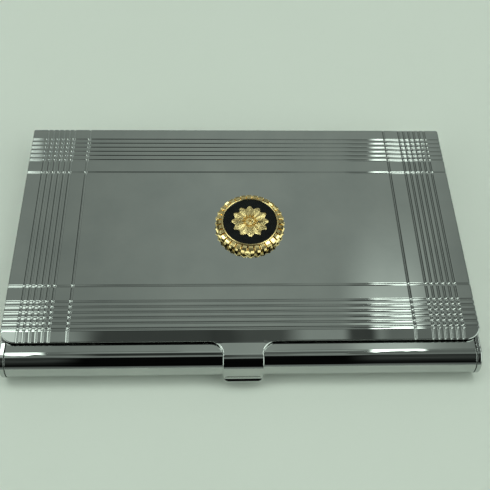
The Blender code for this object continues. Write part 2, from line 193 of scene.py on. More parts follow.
# How fine the meshes are
ARC_STEP = math.radians(4.0)
CORNER_STEP = math.radians(9.0)
ROUND_STEPS = 128
TURNED_SMOOTH = math.radians(40.0)
EMBLEM_SMOOTH = math.radians(35.0)
GROOVE_LINES = 5             # on each side of a groove's middle
SHEET_STEP = 4.0
FIELD_STEP = 3.0
FILL_MARGIN = 0.035          # from a mesh's inner points to its outline
CUT_MARGIN = 0.02            # from a cut in an outline's straight run to its ends
CUT_SPACING = 0.01
SHEET_LINE_GAP = 0.02
LID_LINE_GAP = 0.03

# Floor, lamp and camera
FLOOR_RADIUS = 6000.0
FLOOR_SIDES = 64
FLOOR_GAP = 0.03
KEY_PLACE = (0.0, 250.0, 1200.0)
KEY_SIZE = 900.0
KEY_POWER = 3.1              # watts
KEY_COLOUR = (0.97, 1.0, 0.965)
CAMERA_TURN = (-4.3, 57.4, 3.42)      # azimuth, elevation and roll in degrees
CAMERA_TARGET = (0.86, -1.88, 8.2)
CAMERA_DISTANCE = 154.5
CAMERA_SENSOR = 36.0
CAMERA_LENS = 54.07
CAMERA_CLIP = (0.005, 50.0)  # metres

# The room as the chrome sees it. Angles run from the far horizon (0) over the top (90) to the
# near horizon (180), and sides from -1 on the left to 1 on the right. Each stop is (angle,
# level), first for the middle and then for the sides.
HALF_LAP = 180.0
ROOM_MIDDLE = [(0, 0.60), (12, 0.55), (16, 0.17), (33, 0.17), (38, 0.46), (46, 0.38),
               (66.4, 0.37), (67.4, 0.11), (68.8, 0.14), (70.2, 0.48), (76.5, 0.46),
               (79.0, 0.15), (91.0, 0.13), (93.0, 0.34), (98.5, 0.36), (100.0, 0.26),
               (105.0, 0.24), (107.0, 0.003), (165.0, 0.003), (168.0, 0.20), (180, 0.36)]
ROOM_SIDES = [(0, 0.60), (12, 0.55), (16, 0.20), (33, 0.20), (38, 0.46), (46, 0.38),
              (66.4, 0.37), (67.4, 0.20), (70.0, 0.30), (77.0, 0.24), (80.0, 0.17),
              (91.0, 0.17), (93.0, 0.30), (100.0, 0.28), (104.0, 0.08), (108.0, 0.035),
              (126.0, 0.06), (140.0, 0.02), (160.0, 0.003), (166.0, 0.14), (180, 0.36)]
SIDES_BEGIN = (0.17, 0.22)
ROOM_TINT = (1.017, 1.176, 1.058)
# The brightness from left to right: (half the side plus a half, factor)
ROOM_SLANT = [(0.30, 0.80), (0.375, 0.80), (0.40, 0.73), (0.50, 0.92), (0.59, 0.87),
              (0.64, 0.90), (0.66, 0.74)]
# Bands of the lap are (angle from, angle to, softness)
SLANT_FREE = (78, 150, 1)
RUFFLE_BAND = (100, 160, 4)
RUFFLE_STRENGTH = 3.0
RUFFLE_GRAIN = (9.0, 70.0)   # streaks across and along the lap
EDGE_SOFTNESS = 1.5          # degrees
# Each patch is (side from, side to, angle from, angle to, softness, strength, level)
ROOM_PATCHES = [(-0.17, 0.02, 80, 97, 0.025, 0.85, 0.02), (0.0, 0.105, 92.5, 97, 0.02, 0.80, 0.03),
                (0.175, 0.213, 92.5, 97, 0.008, 0.85, 0.02), (0.225, 0.42, 92.5, 97, 0.01, 0.5, 0.10),
                (0.18, 0.228, 18, 47, 0.008, 0.9, 0.03), (-0.34, -0.25, 92.5, 97, 0.008, 1.0, 0.9),
                (0.345, 0.93, 45.5, 86, 0.02, 0.85, 0.05), (-0.66, -0.31, 46, 86, 0.02, 0.9, 0.05),
                (0.55, 0.95, 4, 19.5, 0.03, 1.0, 0.33), (-0.95, -0.55, 4, 36, 0.03, 1.0, 0.34),
                (0.55, 0.95, 21, 36, 0.03, 1.0, 0.10), (-1.0, -0.68, 36, 86, 0.02, 0.8, 0.33),
                (-0.045, 0.075, 66, 70.5, 0.01, 1.0, 0.37),
                (0.42, 0.95, 88, 162, 0.03, 1.0, 1.35), (-0.95, -0.60, 88, 162, 0.03, 1.0, 1.35)]
# A soft glow on the right, and a bright horizon at both sides
GLOW_SIDE = (0.19, 0.275, 0.03)
GLOW_BAND = (59, 68, 5)
GLOW_LEVEL = 0.34
HORIZON_UP = (0.10, 0.24)
HORIZON_AHEAD = (-0.72, -0.40)
HORIZON_SIDE = (0.32, 0.46)
HORIZON_LEVEL = 1.0
# Lamps that only polished faces show: (side from, side to, angle from, angle to, level)
ROOM_STRIPS = [(0.210, 0.268, 68, 83, 7.0), (0.236, 0.264, 20, 42, 2.6),
               (0.35, 0.60, 68, 85, 2.4), (-0.50, -0.226, 68, 85, 3.6),
               (-0.32, -0.226, 20, 42, 2.0)]
STRIP_SOFTNESS = 0.008
STRIP_WAVER = 0.015
STRIP_SWAY = 0.15
WAVER_GRAIN = (9.0, 8.0)
SWAY_GRAIN = (36.0, 3.0)


# ------------------------------------------------------------------ paths and outlines

class Path:
    """Straight runs and arcs in the YZ plane, with the material on their left."""

    def __init__(self, y, z, heading):
        self.point = (y, z)
        self.heading = math.radians(heading)
        self.length = 0.0
        self.pieces = []

    def add(self, length, curvature):
        self.pieces.append((self.length, *self.point, self.heading, length, curvature))
        place, turned = step_along(*self.point, self.heading, length, curvature)
        self.point = (float(place[0]), float(place[1]))
        self.heading = float(turned)
        self.length += length

    def line(self, length):
        self.add(length, 0.0)

    def arc(self, radius, turn):
        """Turns left for a positive angle in degrees and right for a negative one."""
        self.add(abs(math.radians(turn)) * radius, math.copysign(1.0 / radius, turn))

    def frames(self, v):
        """Origin, the two directions in the sheet, and the normal away from the material."""
        v = np.asarray(v, float)
        place = np.zeros((2, len(v)))
        heading = np.zeros(len(v))
        for start, y, z, turned, _, curvature in self.pieces:
            here = v >= start - 1e-9
            moved, angle = step_along(y, z, turned, v[here] - start, curvature)
            place[:, here] = moved
            heading[here] = angle
        zero = np.zeros(len(v))
        origin = np.stack([zero, place[0], place[1]], 1)
        across = np.stack([zero + 1.0, zero, zero], 1)
        along = np.stack([zero, np.cos(heading), np.sin(heading)], 1)
        outward = np.stack([zero, np.sin(heading), -np.cos(heading)], 1)
        return origin, across, along, outward

    def stations(self):
        """The distances where the mesh needs a row, so that it follows the arcs."""
        places = [0.0]
        for start, _, _, _, length, curvature in self.pieces:
            count = max(1, math.ceil(length * abs(curvature) / ARC_STEP))
            places += [start + length * i / count for i in range(1, count + 1)]
        return places


class Plane:
    """A flat face across X: u is Y and v is Z."""

    def __init__(self, x, side):
        self.x = x
        self.side = side

    def frames(self, v):
        ones = np.ones((len(v), 1))
        v = np.asarray(v, float)[:, None]
        origin = np.hstack([self.x * ones, 0 * ones, v])
        return origin, ones * [0, 1, 0], ones * [0, 0, 1], ones * [self.side, 0, 0]


def step_along(y, z, heading, distance, curvature):
    distance = np.asarray(distance, float)
    turned = heading + distance * curvature
    if curvature == 0.0:
        return np.array([y + distance * math.cos(heading), z + distance * math.sin(heading)]), turned
    across = (np.sin(turned) - math.sin(heading)) / curvature
    along = (math.cos(heading) - np.cos(turned)) / curvature
    return np.array([y + across, z + along]), turned


def rear(distance):
    """The Y of a place given by its distance in front of the rear face."""
    return REAR_Y - distance


def cross2(a, b):
    return a[0] * b[1] - a[1] * b[0]


def unit_rows(vectors):
    return vectors / np.linalg.norm(vectors, axis=1)[:, None]


def rounded(corners, columns, rows):
    """A loop from (u, v, radius) corners, counter-clockwise, with its outward directions.

    Straight runs are cut where the mesh's columns and rows meet them.
    """
    loop = []
    outward = []
    arcs = [corner_arc(corners[i - 1], corners[i], corners[(i + 1) % len(corners)])
            for i in range(len(corners))]
    for i, (points, normals) in enumerate(arcs):
        loop += points
        outward += normals
        start = np.array(points[-1])
        end = np.array(arcs[(i + 1) % len(arcs)][0][0])
        run = end - start
        length = np.linalg.norm(run)
        cuts = []
        if abs(run[0]) > 1e-6:
            cuts += [(c - start[0]) / run[0] for c in columns]
        if abs(run[1]) > 1e-6:
            cuts += [(r - start[1]) / run[1] for r in rows]
        keep = CUT_MARGIN / max(length, 1e-6)
        last = 0.0
        for share in sorted(c for c in cuts if keep < c < 1 - keep):
            if (share - last) * length > CUT_SPACING:
                loop.append(tuple(start + run * share))
                outward.append((run[1] / length, -run[0] / length))
                last = share
    return np.array(loop), np.array(outward)


def corner_arc(before, corner, after):
    """Points and outward directions round one corner of a loop."""
    place = np.array(corner[:2])
    back = np.array(before[:2]) - place
    ahead = np.array(after[:2]) - place
    back = back / np.linalg.norm(back)
    ahead = ahead / np.linalg.norm(ahead)
    turn = cross2(-back, ahead)
    half = math.acos(max(-1.0, min(1.0, back @ ahead))) / 2
    middle = back + ahead
    centre = place + middle / np.linalg.norm(middle) * (corner[2] / math.sin(half))
    start = place + back * (corner[2] / math.tan(half)) - centre
    sweep = math.copysign(math.pi - 2 * half, turn)
    count = max(2, math.ceil(abs(sweep) / CORNER_STEP))
    points = []
    normals = []
    for k in range(count + 1):
        angle = sweep * k / count
        spoke = np.array([start[0] * math.cos(angle) - start[1] * math.sin(angle),
                          start[0] * math.sin(angle) + start[1] * math.cos(angle)])
        points.append(tuple(centre + spoke))
        normals.append(tuple(spoke / corner[2] * math.copysign(1.0, turn)))
    return points, normals


def toothed_edge(spans, root, tip):
    """Corners along an edge with a tooth on each span, from the first span to the last."""
    corners = []
    for start, end in spans:
        corners += [(start, root, TOOTH_CORNER), (start, tip, TOOTH_CORNER),
                    (end, tip, TOOTH_CORNER), (end, root, TOOTH_CORNER)]
    return corners


def both_sides(*spans):
    """Spans given on the right, and their mirror images, ordered from left to right."""
    return sorted([(-end, -start) for start, end in spans] + list(spans))


# ------------------------------------------------------------------ meshes

def fill_points(loop, columns, rows, margin):
    """Grid points inside a loop, none of them closer to it than the margin."""
    near = KDTree(len(loop))
    for i, (u, v) in enumerate(loop):
        near.insert((u, v, 0.0), i)
    near.balance()
    following = np.roll(loop, -1, 0)
    kept = []
    for v in rows:
        crosses = (loop[:, 1] <= v) != (following[:, 1] <= v)
        share = (v - loop[crosses, 1]) / (following[crosses, 1] - loop[crosses, 1])
        edges = np.sort(loop[crosses, 0] + share * (following[crosses, 0] - loop[crosses, 0]))
        for left, right in zip(edges[::2], edges[1::2]):
            for u in columns:
                if left + margin < u < right - margin and near.find((u, v, 0.0))[2] > margin:
                    kept.append((u, v))
    return np.array(kept).reshape(-1, 2)


def cap_faces(loop, inner):
    """Triangles that fill a loop through the inner points, as indices into both."""
    points = [Vector(p) for p in np.vstack([loop, inner])]
    edges = [(i, (i + 1) % len(loop)) for i in range(len(loop))]
    places, _, faces, came_from, _, _ = delaunay_2d_cdt(points, edges, [], 1, 1e-5)
    names = [sources[0] for sources in came_from]
    made = []
    for face in faces:
        a, b, c = (places[i] for i in face)
        corners = tuple(names[i] for i in face)
        made.append(corners if cross2(b - a, c - a) > 0 else corners[::-1])
    return made


def laminate(surface, loop, outward, columns, rows, thickness, top_round, under_round,
             relief=None, steps=4):
    """Vertices, faces and normals of a sheet with rounded edges, laid on a surface."""
    layers = []
    for k in range(steps + 1):
        angle = math.radians(90.0) * k / steps
        layers.append((top_round * (math.sin(angle) - 1), top_round * (1 - math.cos(angle)), angle))
    for k in range(steps, -1, -1):
        angle = math.radians(90.0) * k / steps
        layers.append((under_round * (math.sin(angle) - 1),
                       thickness - under_round * (1 - math.cos(angle)), math.pi - angle))
    flats = [(loop + outward * inset, outward, depth, angle) for inset, depth, angle in layers]
    caps = []
    for inset, depth, angle in (layers[0], layers[-1]):
        edge = loop + outward * inset
        inner = fill_points(edge, columns, rows, FILL_MARGIN)
        caps.append((cap_faces(edge, inner), len(inner)))
        flats.append((inner, np.zeros_like(inner), depth, angle))
    verts = []
    normals = []
    for points, sides, depth, angle in flats:
        placed, facing = place(surface, points, sides, depth, angle, thickness, relief)
        verts.append(placed)
        normals.append(facing)
    around = len(loop)
    count = len(layers)
    faces = []
    for layer in range(count - 1):
        for i in range(around):
            j = (i + 1) % around
            faces.append((layer * around + i, (layer + 1) * around + i,
                          (layer + 1) * around + j, layer * around + j))
    offset = count * around
    starts = (0, (count - 1) * around)
    for (cap, held), first, flip in zip(caps, starts, (False, True)):
        for face in cap:
            named = tuple(first + i if i < around else offset + i - around for i in face)
            faces.append(named[::-1] if flip else named)
        offset += held
    _, across, along, facing = surface.frames(loop[:1, 1])
    if np.dot(np.cross(across[0], along[0]), facing[0]) < 0:
        faces = [face[::-1] for face in faces]
    return np.vstack(verts), faces, np.vstack(normals)


def place(surface, points, sides, depth, angle, thickness, relief):
    """Where flat points of one layer lie in space, and which way the sheet faces there."""
    origin, across, along, facing = surface.frames(points[:, 1])
    sunk = np.full(len(points), depth)
    tilt = np.zeros((len(points), 3))
    if relief:
        share = 1.0 - (1.0 - GROOVE_UNDER_SHARE) * depth / thickness
        drop, by_u, by_v = relief(points[:, 0], points[:, 1])
        sunk = sunk + share * drop
        tilt = share * (by_u[:, None] * across + by_v[:, None] * along)
    placed = origin + points[:, :1] * across - sunk[:, None] * facing
    normal = math.cos(angle) * (facing + tilt)
    normal = normal + math.sin(angle) * (sides[:, :1] * across + sides[:, 1:] * along)
    return placed, unit_rows(normal)


def make_piece(name, verts, faces, finish, body, stands_for, normals=None):
    """An object that rides on a body and stands for a CAD node."""
    mesh = bpy.data.meshes.new(name)
    mesh.from_pydata((np.asarray(verts) * MM).tolist(), [], faces, shade_flat=normals is None)
    mesh.validate()
    if normals is not None:
        mesh.normals_split_custom_set_from_vertices(np.asarray(normals).tolist())
    mesh.materials.append(finish)
    made = bpy.data.objects.new(name, mesh)
    bpy.context.scene.collection.objects.link(made)
    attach(made, body)
    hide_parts(stands_for)
    return made


def spread(low, high, step):
    """Evenly spaced places from low to high, no further apart than the step."""
    return list(np.linspace(low, high, max(2, math.ceil((high - low) / step) + 1)))


def tidy_lines(places, closest):
    """Sorted places, without any that crowd the one before."""
    kept = []
    for value in sorted(places):
        if not kept or value - kept[-1] > closest:
            kept.append(value)
    return kept


def bent_sheet(name, path, corners, columns, thickness, edge_round, finish, body):
    """A plain sheet piece with the name of the CAD node that it stands for."""
    rows = tidy_lines(path.stations(), SHEET_LINE_GAP)
    loop, outward = rounded(corners, columns, rows)
    shape = laminate(path, loop, outward, columns, rows, thickness, edge_round, edge_round, steps=3)
    verts, faces, normals = shape
    make_piece(name + "_sheet", verts, faces, finish, body, name, normals)


# ------------------------------------------------------------------ the pieces

def channel(places, centres):
    """How deep each place is in the nearest groove, from 0 to 1, and the slope there."""
    off = places[:, None] - np.array(centres)[None, :]
    off = off[np.arange(len(places)), np.abs(off).argmin(1)]
    inside = np.abs(off) < GROOVE_WIDTH / 2
    turn = 2 * math.pi * off / GROOVE_WIDTH
    depth = np.where(inside, (1 + np.cos(turn)) / 2, 0.0)
    slope = np.where(inside, -math.pi / GROOVE_WIDTH * np.sin(turn), 0.0)
    return depth, slope


def lid_relief(u, v):
    """Depth of the grooves below the lid's face, and how it changes across and along."""
    half = WIDTH / 2
    centres = [half - g for g in SIDE_GROOVES] + [g - half for g in SIDE_GROOVES]
    deep_u, slope_u = channel(u, centres)
    deep_v, slope_v = channel(v, REAR_GROOVES + FRONT_GROOVES)
    drop = SIDE_GROOVE_DEPTH * deep_u + ROW_GROOVE_DEPTH * deep_v - CROSSING_RELIEF * deep_u * deep_v
    by_u = (SIDE_GROOVE_DEPTH - CROSSING_RELIEF * deep_v) * slope_u
    by_v = (ROW_GROOVE_DEPTH - CROSSING_RELIEF * deep_u) * slope_v
    return drop, by_u, by_v


def groove_lines(centres):
    """Places across each groove where the mesh needs a line."""
    return [c + GROOVE_WIDTH * k / (2 * GROOVE_LINES)
            for c in centres for k in range(-GROOVE_LINES, GROOVE_LINES + 1)]


def lid_path():
    path = Path(REAR_Y, CASE_HEIGHT, 180.0)
    path.line(LID_FLAT)
    path.arc(LID_CREASE_RADIUS, LID_SLOPE)
    path.line(LID_SLOPE_RUN)
    path.arc(TAB_JOGGLE_RADIUS, TAB_SHELF_SLOPE - LID_SLOPE)
    path.line(TAB_SHELF_RUN)
    path.arc(TAB_BEND_RADIUS, 90.0 - TAB_SHELF_SLOPE)
    path.line(TAB_DROP)
    path.arc(TAB_FLARE_RADIUS, -TAB_FLARE)
    path.line(TAB_END_RUN)
    return path


def make_lid(finish):
    path = lid_path()
    half = WIDTH / 2
    tab = TAB_WIDTH / 2
    right = [half - g for g in SIDE_GROOVES]
    columns = groove_lines(right) + groove_lines([-g for g in right])
    columns += spread(-LID_FIELD_HALF, LID_FIELD_HALF, FIELD_STEP) + spread(-tab, tab, 0.8)
    columns += [s * (half - m) for s in (-1, 1) for m in LID_MARGIN_LINES + LID_GAP_LINES]
    rows = groove_lines(REAR_GROOVES + FRONT_GROOVES) + path.stations()
    rows += list(LID_MARGIN_LINES) + spread(*LID_FIELD_ROWS, FIELD_STEP)
    rows += spread(LID_SLOPE_START, LID_LIP - 0.3, 0.4) + spread(LID_LIP + 0.2, path.length, 0.35)
    columns = tidy_lines(columns, LID_LINE_GAP)
    rows = tidy_lines(rows, LID_LINE_GAP)
    corners = [(-half, 0.0, LID_REAR_CORNER), (half, 0.0, LID_REAR_CORNER),
               (half, LID_LIP, LID_CORNER_RADIUS), (tab, LID_LIP, TAB_ROOT_RADIUS),
               (tab, path.length, TAB_CORNER_RADIUS), (-tab, path.length, TAB_CORNER_RADIUS),
               (-tab, LID_LIP, TAB_ROOT_RADIUS), (-half, LID_LIP, LID_CORNER_RADIUS)]
    loop, outward = rounded(corners, columns, rows)
    verts, faces, normals = laminate(path, loop, outward, columns, rows, SHEET,
                                     LID_EDGE_ROUND, LID_EDGE_UNDER, lid_relief, steps=6)
    make_piece("lid_cover", verts, faces, finish, "lid", "lid", normals)


def make_base_shell(finish):
    path = Path(rear(NOSE_FROM_REAR - LEDGE_RUN), 2 * NOSE_RADIUS, 180.0)
    path.line(LEDGE_RUN)
    path.arc(NOSE_RADIUS, 180.0)
    path.line(NOSE_FROM_REAR - REAR_CORNER_RADIUS)
    path.arc(REAR_CORNER_RADIUS, 90.0)
    path.line(REAR_WALL_TOP - REAR_CORNER_RADIUS)
    half = WIDTH / 2 - END_PLATE - RUNNING_GAP
    corners = [(-half, 0.0, SHELL_CORNER), (half, 0.0, SHELL_CORNER),
               (half, path.length, SHELL_CORNER), (-half, path.length, SHELL_CORNER)]
    columns = spread(-half, half, SHEET_STEP)[1:-1]
    bent_sheet("base_shell", path, corners, columns, SHEET, SHELL_EDGE_ROUND, finish,
               "case")


def round_arc(centre, radius, start, end):
    """(y, z) points on an arc, its angles in degrees."""
    count = max(2, math.ceil(math.radians(abs(end - start)) / ARC_STEP))
    angles = np.radians(np.linspace(start, end, count + 1))
    return [(centre[0] + radius * math.cos(a), centre[1] + radius * math.sin(a)) for a in angles]


def end_plate_loop():
    """The end plate seen from the side, with its outward directions."""
    nose_z = NOSE_RADIUS + PLATE_PROUD
    pin = (rear(PIN_INSET), PIN_HEIGHT)
    top = PIN_HEIGHT + HINGE_EAR_RADIUS
    run = round_arc((rear(NOSE_FROM_REAR), nose_z), nose_z, 90.0, 270.0)
    run += round_arc((rear(REAR_CORNER_RADIUS), REAR_CORNER_RADIUS), REAR_CORNER_RADIUS, 270.0, 360.0)
    run += round_arc((REAR_Y - PLATE_OUTER_CORNER, REAR_WALL_TOP - PLATE_OUTER_CORNER),
                     PLATE_OUTER_CORNER, 0.0, 90.0)
    neck = pin[0] + HINGE_EAR_RADIUS * math.cos(math.radians(HINGE_EAR_ANGLE))
    neck += PLATE_INNER_CORNER
    run += round_arc((neck, REAR_WALL_TOP + PLATE_INNER_CORNER), PLATE_INNER_CORNER, 270.0, 180.0)
    run += round_arc(pin, HINGE_EAR_RADIUS, -HINGE_EAR_ANGLE, 90.0)
    run.append((rear(PLATE_SHOULDER), top))
    run.append((rear(PLATE_STEP_END), 2 * nose_z))
    loop = np.array(run)
    before = loop - np.roll(loop, 1, 0)
    after = np.roll(loop, -1, 0) - loop
    along = unit_rows(unit_rows(before) + unit_rows(after))
    return loop, np.stack([along[:, 1], -along[:, 0]], 1)


def make_end_plate(name, side, finish):
    """A stamped plate that closes one end of the shell, its outer edge rounded."""
    loop, outward = end_plate_loop()
    face = Plane(side * WIDTH / 2, side)
    columns = spread(*(rear(place_at) for place_at in PLATE_COLUMNS), SHEET_STEP)
    verts, faces, normals = laminate(face, loop, outward, columns, PLATE_ROWS, END_PLATE,
                                     PLATE_EDGE_ROUND, PLATE_EDGE_UNDER, steps=5)
    make_piece(name + "_plate", verts, faces, finish, "case", name, normals)


def curl_round_pin(path, reach, lean_height):
    """Leads a rising strip out to the knuckle's circle and wraps it round the pin."""
    pin = (rear(PIN_INSET), PIN_HEIGHT)
    drop = PIN_HEIGHT - lean_height
    across = reach + JOGGLE_RADIUS
    slant = math.hypot(across, drop)
    lean = math.atan2(drop, across) - math.acos((KNUCKLE_RADIUS + JOGGLE_RADIUS) / slant)
    path.arc(JOGGLE_RADIUS, -math.degrees(lean))
    to_pin = (pin[0] - path.point[0], pin[1] - path.point[1])
    path.line(to_pin[0] * math.cos(path.heading) + to_pin[1] * math.sin(path.heading))
    path.arc(KNUCKLE_RADIUS, CURL)


def strip_columns(spans):
    places = [s for start, end in spans
              for s in spread(start + KNUCKLE_MARGIN, end - KNUCKLE_MARGIN, SHEET_STEP)]
    return tidy_lines(places, KNUCKLE_LINE_GAP)


def make_base_hinge_leaf(finish):
    """A strip on the inside of the rear wall, with three knuckles curled round the pin."""
    path = Path(rear(PIN_INSET) + BASE_LEAF_REACH, BASE_LEAF_BOTTOM, 90.0)
    path.line(BASE_LEAF_LEAN - BASE_LEAF_BOTTOM)
    curl_round_pin(path, BASE_LEAF_REACH, BASE_LEAF_LEAN)
    spans = sorted(both_sides(BASE_OUTER_KNUCKLE) + [(-BASE_MIDDLE_KNUCKLE, BASE_MIDDLE_KNUCKLE)])
    root = BASE_LEAF_TOP - BASE_LEAF_BOTTOM
    teeth = toothed_edge(spans, root, path.length)
    corners = [(-LEAF_ENDS, root, BASE_LEAF_CORNER), (-LEAF_ENDS, 0.0, BASE_LEAF_CORNER),
               (LEAF_ENDS, 0.0, BASE_LEAF_CORNER), (LEAF_ENDS, root, BASE_LEAF_CORNER)]
    corners += teeth[::-1]
    bent_sheet("base_hinge_leaf", path, corners, strip_columns(spans), HINGE_SHEET,
               LEAF_EDGE_ROUND, finish, "case")


def make_lid_hinge_leaf(finish):
    """A strip under the lid, with four knuckles curled round the pin."""
    start = 90.0 - CURL
    ring = (math.cos(math.radians(start)), math.sin(math.radians(start)))
    path = Path(rear(PIN_INSET) + KNUCKLE_RADIUS * ring[0],
                PIN_HEIGHT + KNUCKLE_RADIUS * ring[1], start + 90.0)
    path.arc(KNUCKLE_RADIUS, CURL)
    root = path.length + LID_LEAF_CLEAR
    path.line(LID_LEAF_LENGTH)
    spans = both_sides(LID_INNER_KNUCKLE, LID_OUTER_KNUCKLE)
    teeth = toothed_edge(spans, root, 0.0)
    corners = teeth + [(LEAF_ENDS, root, TOOTH_CORNER), (LEAF_ENDS, path.length, LID_LEAF_CORNER),
                       (-LEAF_ENDS, path.length, LID_LEAF_CORNER), (-LEAF_ENDS, root, TOOTH_CORNER)]
    bent_sheet("lid_hinge_leaf", path, corners, strip_columns(spans), HINGE_SHEET,
               LEAF_EDGE_ROUND, finish, "lid")


def make_card_leaf(finish):
    """The plate that lifts the cards, with a finger notch and two arms up to the pin."""
    path = Path(rear(CARD_LEAF_FRONT), CARD_LEAF_UNDERSIDE, 0.0)
    arm_y = rear(PIN_INSET) + CARD_LEAF_ARM_REACH
    path.line(arm_y - CARD_LEAF_BEND_RADIUS - path.point[0])
    plate_end = path.length
    path.arc(CARD_LEAF_BEND_RADIUS, 90.0)
    path.line(CARD_LEAF_ARM_LEAN - path.point[1])
    curl_round_pin(path, CARD_LEAF_ARM_REACH, CARD_LEAF_ARM_LEAN)
    half = CARD_LEAF_HALF_WIDTH
    notch = FINGER_NOTCH_HALF_WIDTH
    spans = both_sides(CARD_LEAF_KNUCKLE)
    front = [(-half, 0.0, CARD_LEAF_CORNER_RADIUS),
             (-notch, 0.0, FINGER_NOTCH_RADIUS / 2),
             (-notch, FINGER_NOTCH_DEPTH, FINGER_NOTCH_RADIUS),
             (notch, FINGER_NOTCH_DEPTH, FINGER_NOTCH_RADIUS),
             (notch, 0.0, FINGER_NOTCH_RADIUS / 2),
             (half, 0.0, CARD_LEAF_CORNER_RADIUS),
             (half, plate_end, CARD_LEAF_CORNER_RADIUS)]
    arms = toothed_edge(spans, plate_end, path.length)[::-1]
    corners = front + arms + [(-half, plate_end, CARD_LEAF_CORNER_RADIUS)]
    columns = spread(-half, half, SHEET_STEP)[1:-1]
    bent_sheet("card_leaf", path, corners, columns, HINGE_SHEET, LEAF_EDGE_ROUND, finish,
               "card_leaf")


def turned(name, profile, finish, node, slot):
    """A round piece about the medallion's axis, from (radius, height) points."""
    verts = []
    rings = []
    for radius, height in profile:
        count = ROUND_STEPS if radius > 0 else 1
        rings.append([len(verts) + k for k in range(count)])
        for k in range(count):
            angle = math.tau * k / ROUND_STEPS
            verts.append(on_medallion(radius, angle, height))
    faces = []
    for first, second in zip(rings, rings[1:] + rings[:1]):
        for k in range(ROUND_STEPS):
            ring = (first[k % len(first)], second[k % len(second)],
                    second[(k + 1) % len(second)], first[(k + 1) % len(first)])
            corners = list(dict.fromkeys(ring))
            if len(corners) > 2:
                faces.append(corners)
    made = make_piece(name, verts, faces, finish, "lid", node)
    made.data.shade_smooth()
    made.data.set_sharp_from_angle(angle=TURNED_SMOOTH)


def on_medallion(radius, angle, height):
    return (MEDALLION_X + radius * math.cos(angle),
            rear(MEDALLION_FROM_REAR) + radius * math.sin(angle), CASE_HEIGHT + height)


def make_cup_and_enamel(gold, enamel):
    gap = RUNNING_GAP / 2
    seat = PAD_HEIGHT + gap
    inside = CUP_RADIUS - CUP_RIM
    lip = CUP_RIM / 2
    profile = [(0.0, seat), (CUP_RADIUS, seat)]
    profile += [(CUP_RADIUS - lip + lip * math.cos(a), CUP_HEIGHT - lip + lip * math.sin(a))
                for a in np.linspace(0.0, math.pi, CUP_LIP_POINTS)]
    profile += [(inside, ENAMEL_BED), (0.0, ENAMEL_BED)]
    turned("medallion_rim", profile[::-1], gold, "medallion_cup", "gilt")
    fill = inside - ENAMEL_CLEAR
    level = ENAMEL_HEIGHT - ENAMEL_DISH
    top = [(fill, ENAMEL_HEIGHT + ENAMEL_CREEP), (fill - 0.1, ENAMEL_HEIGHT), (fill - 0.35, level)]
    top += [(radius, level) for radius in (4.0, 2.0, 0.0)]
    turned("medallion_fill", [(0.0, ENAMEL_BED + gap), (fill, ENAMEL_BED + gap)] + top,
           enamel, "medallion_enamel", "black_enamel")


def ring_faces(first, second, count):
    return [(first + k, first + (k + 1) % count, second + (k + 1) % count, second + k)
            for k in range(count)]


def bezel_crown():
    """Cut blocks round the rim: (radius, height) on a block, at its edge and in a gap."""
    levels = [((6.10, 0.90), (6.10, 0.90), (6.10, 0.90)), ((6.12, 1.50), (6.12, 1.46), (6.12, 1.15)),
              ((6.16, 1.72), (6.20, 1.66), (6.26, 1.20)), ((6.66, 1.64), (6.66, 1.58), (6.62, 1.26)),
              ((7.10, 1.49), (7.06, 1.44), (6.92, 1.18)), ((7.18, 1.32), (7.12, 1.26), (6.98, 1.10)),
              ((6.90, 0.90), (6.90, 0.90), (6.90, 0.90))]
    pitch = math.tau / BEZEL_BLOCKS
    shares = ((-0.40, 1), (-0.34, 0), (0.34, 0), (0.40, 1), (0.5, 2))
    verts = []
    for level in levels:
        for k in range(BEZEL_BLOCKS):
            verts += [on_medallion(level[state][0], (k + share) * pitch, level[state][1])
                      for share, state in shares]
    around = BEZEL_BLOCKS * len(shares)
    faces = []
    for i in range(len(levels)):
        faces += ring_faces(i * around, (i + 1) % len(levels) * around, around)
    return verts, [face[::-1] for face in faces]


# Rings of the belt below the crown: (radius, height) under a block and under a gap
BEZEL_BELT = [((6.70, 0.06), (6.70, 0.06)), ((6.74, 0.20), (7.16, 0.24)), ((6.84, 0.50), (7.20, 0.50)),
              ((7.38, 0.78), (6.92, 0.78)), ((7.45, 1.04), (7.02, 1.00)), ((7.06, 1.24), (6.90, 1.12)),
              ((6.30, 1.24), (6.30, 1.12))]


def bezel_belt():
    """Diamond facets, with ridges from each ring's points to the next ring's."""
    count = 2 * BEZEL_BLOCKS
    verts = [on_medallion(ring[k % 2][0], k * math.tau / count, ring[k % 2][1])
             for ring in BEZEL_BELT for k in range(count)]
    faces = []
    for i, (low, high) in enumerate(zip(BEZEL_BELT, BEZEL_BELT[1:])):
        for k, (a, b, c, d) in enumerate(ring_faces(i * count, (i + 1) * count, count)):
            here, there = k % 2, (k + 1) % 2
            if low[here][0] + high[there][0] > low[there][0] + high[here][0]:
                faces += [(a, b, c), (a, c, d)]
            else:
                faces += [(a, b, d), (b, c, d)]
    faces += ring_faces((len(BEZEL_BELT) - 1) * count, 0, count)
    return verts, faces


def make_bezel(finish):
    crown, crown_faces = bezel_crown()
    belt, belt_faces = bezel_belt()
    faces = crown_faces + [tuple(i + len(crown) for i in face) for face in belt_faces]
    make_piece("medallion_diamond_ring", crown + belt, faces, finish, "lid",
               "medallion_bezel")


